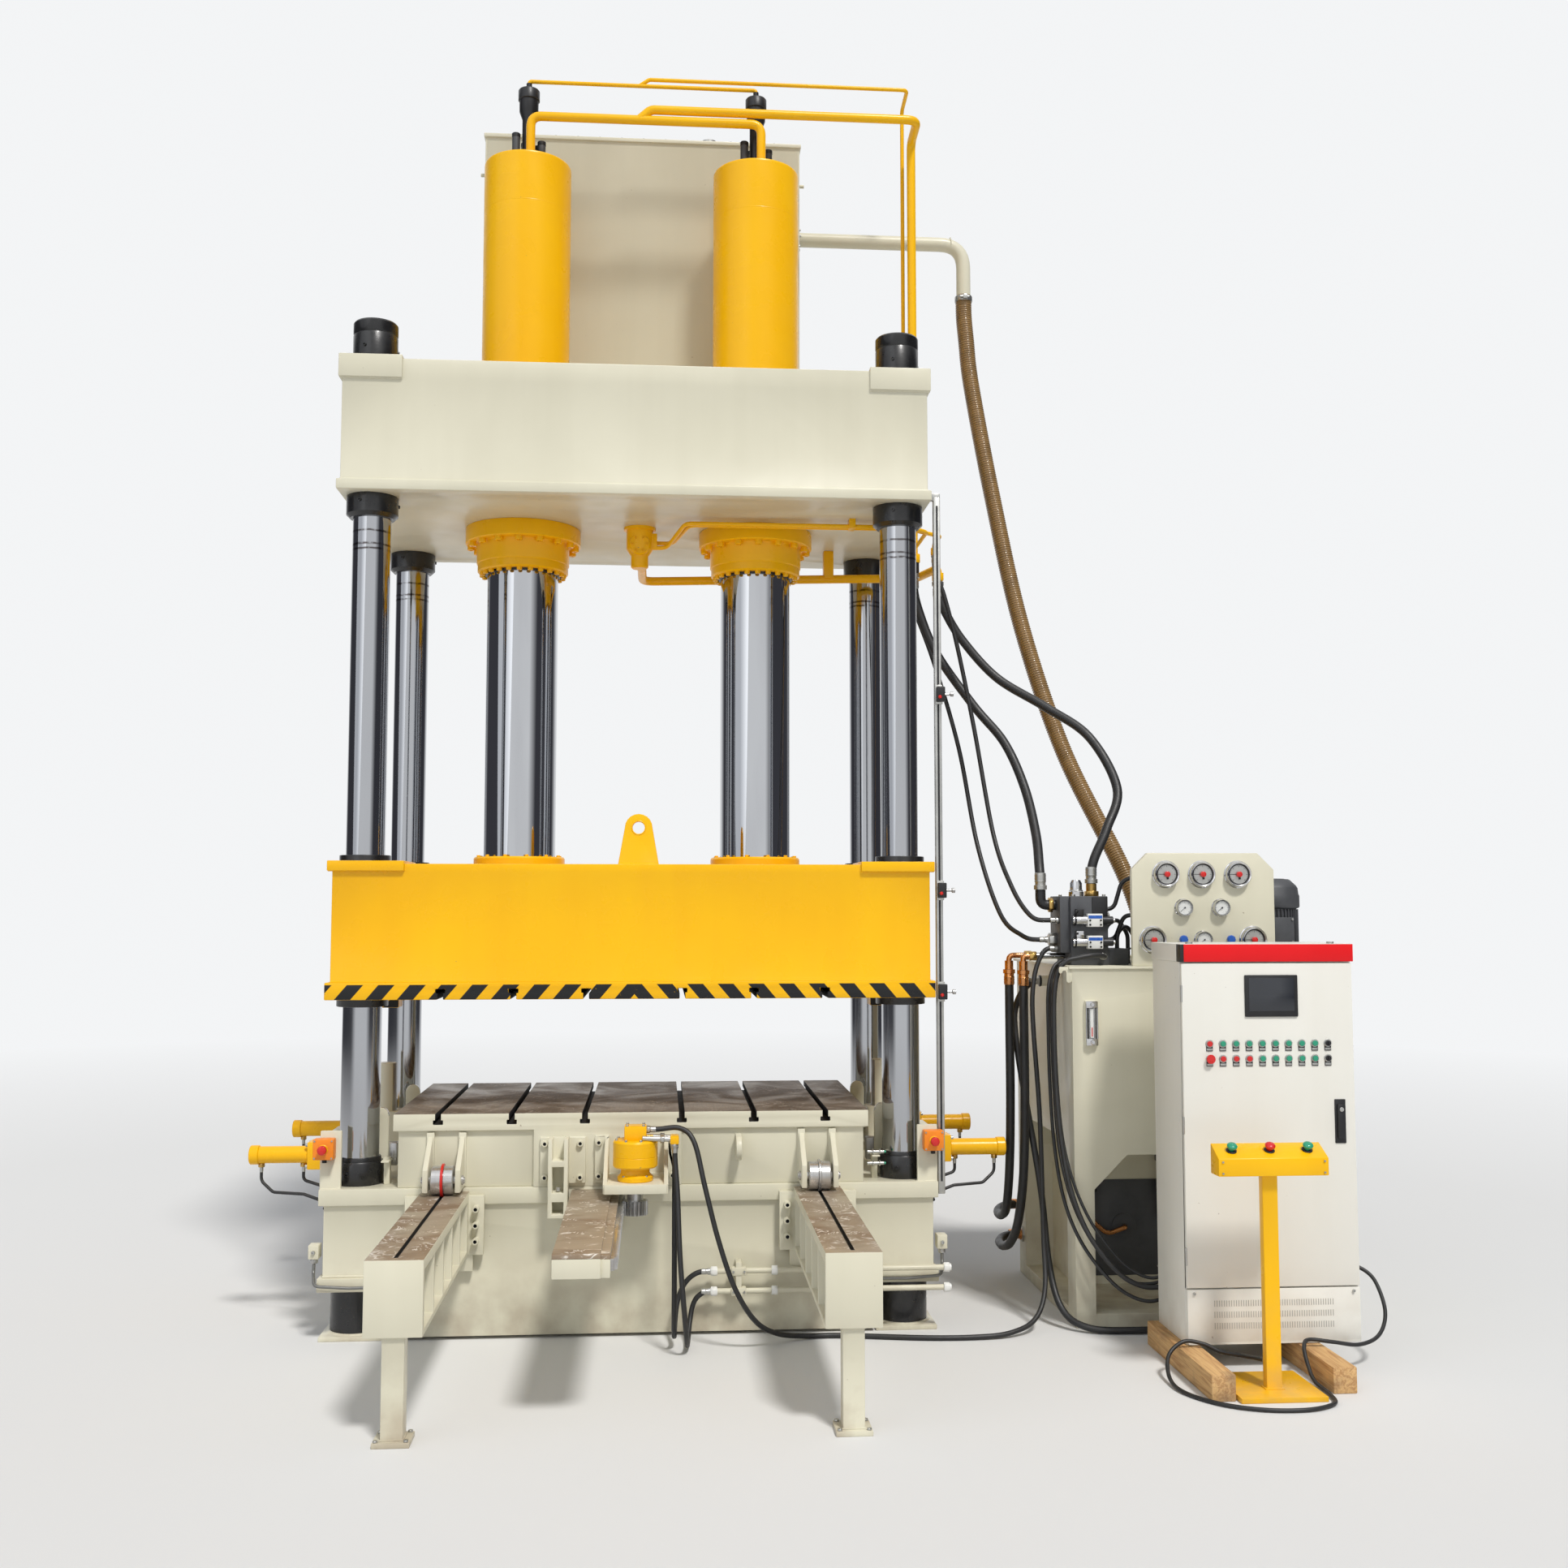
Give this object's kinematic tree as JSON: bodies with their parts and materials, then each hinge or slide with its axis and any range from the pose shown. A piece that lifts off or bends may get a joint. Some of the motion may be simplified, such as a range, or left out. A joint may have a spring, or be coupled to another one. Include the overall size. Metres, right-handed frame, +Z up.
{
  "type": "hydraulic press",
  "caption": "Four-column hydraulic press with two rams, roll-out T-slot bolster, side clamps, oil power unit, control cabinet and push-button pedestal.",
  "frame": {"origin": "on the floor, centred between the four columns, at the underside of the bed's centre pad", "axes": "+Z up along the columns, +X to the right towards the power unit, -Y towards the operator and the rails"},
  "size_m": [4.8275, 2.852, 6.0487],
  "materials": {
    "ivory_paint": "semi-gloss warm ivory paint",
    "yellow_paint": "semi-gloss strong yellow paint",
    "chrome": "polished hard chrome",
    "steel": "ground steel",
    "black": "satin black",
    "wood": "sawn timber",
    "rubber": "matt black rubber hose",
    "brown_rubber": "brown ribbed hose",
    "red_plastic": "glossy red",
    "green_plastic": "glossy green"
  },
  "bodies": {
    "frame": {"bed": "ivory_paint", "upper_beam": "ivory_paint", "oil_tank": "ivory_paint", "suction_pipe": "ivory_paint", "rail_arm_l": "ivory_paint", "rail_arm_r": "ivory_paint", "rack_arm": "ivory_paint", "power_tank": "ivory_paint", "gauge_panel": "ivory_paint", "cabinet_body": "ivory_paint", "sensor_rail": "ivory_paint", "cylinder_l": "yellow_paint", "cylinder_r": "yellow_paint", "pressure_pipe": "yellow_paint", "pilot_line": "yellow_paint", "exhaust_line": "yellow_paint", "clamp_cyl_fl": "yellow_paint", "clamp_cyl_fr": "yellow_paint", "clamp_cyl_rl": "yellow_paint", "clamp_cyl_rr": "yellow_paint", "estop_box_l": "yellow_paint", "estop_box_r": "yellow_paint", "pedestal": "yellow_paint", "column_fl": "chrome", "column_fr": "chrome", "column_rl": "chrome", "column_rr": "chrome", "hardlines": "steel", "valve_block": "black", "pump_motor": "black", "timber_l": "wood", "timber_r": "wood", "suction_hose": "brown_rubber", "pressure_hose_a": "rubber", "pressure_hose_b": "rubber", "pilot_hose_a": "rubber", "pilot_hose_b": "rubber", "pedestal_cable": "rubber", "cabinet_cable": "rubber"},
    "slide_unit": {"slide": "yellow_paint", "rod_l": "chrome", "rod_r": "chrome"},
    "bolster_unit": {"bolster": "ivory_paint", "drive_motor": "yellow_paint", "motor_hose_a": "rubber", "motor_hose_b": "rubber", "drain_hose": "rubber"},
    "pinion_body": {"pinion": "steel"},
    "roller_l_body": {"roller_l": "steel"},
    "roller_r_body": {"roller_r": "steel"},
    "clamp_fl": {"clamp_rod_fl": "chrome"},
    "clamp_fr": {"clamp_rod_fr": "chrome"},
    "clamp_rl": {"clamp_rod_rl": "chrome"},
    "clamp_rr": {"clamp_rod_rr": "chrome"},
    "estop_l": {"estop_button_l": "red_plastic"},
    "estop_r": {"estop_button_r": "red_plastic"},
    "button_start": {"pedestal_button_start": "green_plastic"},
    "button_stop": {"pedestal_button_stop": "red_plastic"},
    "button_return": {"pedestal_button_return": "green_plastic"},
    "door": {"cabinet_door": "ivory_paint"}
  },
  "joints": [
    {"name": "slide_travel", "type": "slide", "parent": "frame", "child": "slide_unit", "axis": [0, 0, 1], "range_m": [-0.2695, 1.2]},
    {"name": "bolster_travel", "type": "slide", "parent": "frame", "child": "bolster_unit", "axis": [0, -1, 0], "range_m": [0, 1.1]},
    {"name": "pinion_spin", "type": "hinge", "parent": "bolster_unit", "child": "pinion_body", "pos_m": [0.012, -0.95, 0.59], "axis": [0, 0, 1], "continuous": true},
    {"name": "roller_l_spin", "type": "hinge", "parent": "bolster_unit", "child": "roller_l_body", "pos_m": [-0.8025, -0.845, 0.6933], "axis": [1, 0, 0], "continuous": true},
    {"name": "roller_r_spin", "type": "hinge", "parent": "bolster_unit", "child": "roller_r_body", "pos_m": [0.8025, -0.845, 0.6933], "axis": [1, 0, 0], "continuous": true},
    {"name": "clamp_fl_push", "type": "slide", "parent": "frame", "child": "clamp_fl", "axis": [1, 0, 0], "range_m": [0, 0.028]},
    {"name": "clamp_fr_push", "type": "slide", "parent": "frame", "child": "clamp_fr", "axis": [-1, 0, 0], "range_m": [0, 0.028]},
    {"name": "clamp_rl_push", "type": "slide", "parent": "frame", "child": "clamp_rl", "axis": [1, 0, 0], "range_m": [0, 0.028]},
    {"name": "clamp_rr_push", "type": "slide", "parent": "frame", "child": "clamp_rr", "axis": [-1, 0, 0], "range_m": [0, 0.028]},
    {"name": "estop_l_press", "type": "slide", "parent": "frame", "child": "estop_l", "axis": [0, 1, 0], "range_m": [0, 0.006]},
    {"name": "estop_r_press", "type": "slide", "parent": "frame", "child": "estop_r", "axis": [0, 1, 0], "range_m": [0, 0.006]},
    {"name": "button_start_press", "type": "slide", "parent": "frame", "child": "button_start", "axis": [0, 0.4629, -0.8864], "range_m": [0, 0.006], "stiffness_N_per_m": 800, "springref_m": -0.002},
    {"name": "button_stop_press", "type": "slide", "parent": "frame", "child": "button_stop", "axis": [0, 0.4629, -0.8864], "range_m": [0, 0.006], "stiffness_N_per_m": 800, "springref_m": -0.002},
    {"name": "button_return_press", "type": "slide", "parent": "frame", "child": "button_return", "axis": [0, 0.4629, -0.8864], "range_m": [0, 0.006], "stiffness_N_per_m": 800, "springref_m": -0.002},
    {"name": "door_swing", "type": "hinge", "parent": "frame", "child": "door", "pos_m": [2.227, -1.4303, 0.97], "axis": [0, 0, 1], "range_deg": [-25, 0]}
  ],
  "couplings": [
    {"joint": "pinion_spin", "follows": "bolster_travel", "rad_per_m": -20},
    {"joint": "roller_l_spin", "follows": "bolster_travel", "rad_per_m": 16.393},
    {"joint": "roller_r_spin", "follows": "bolster_travel", "rad_per_m": 16.393}
  ]
}
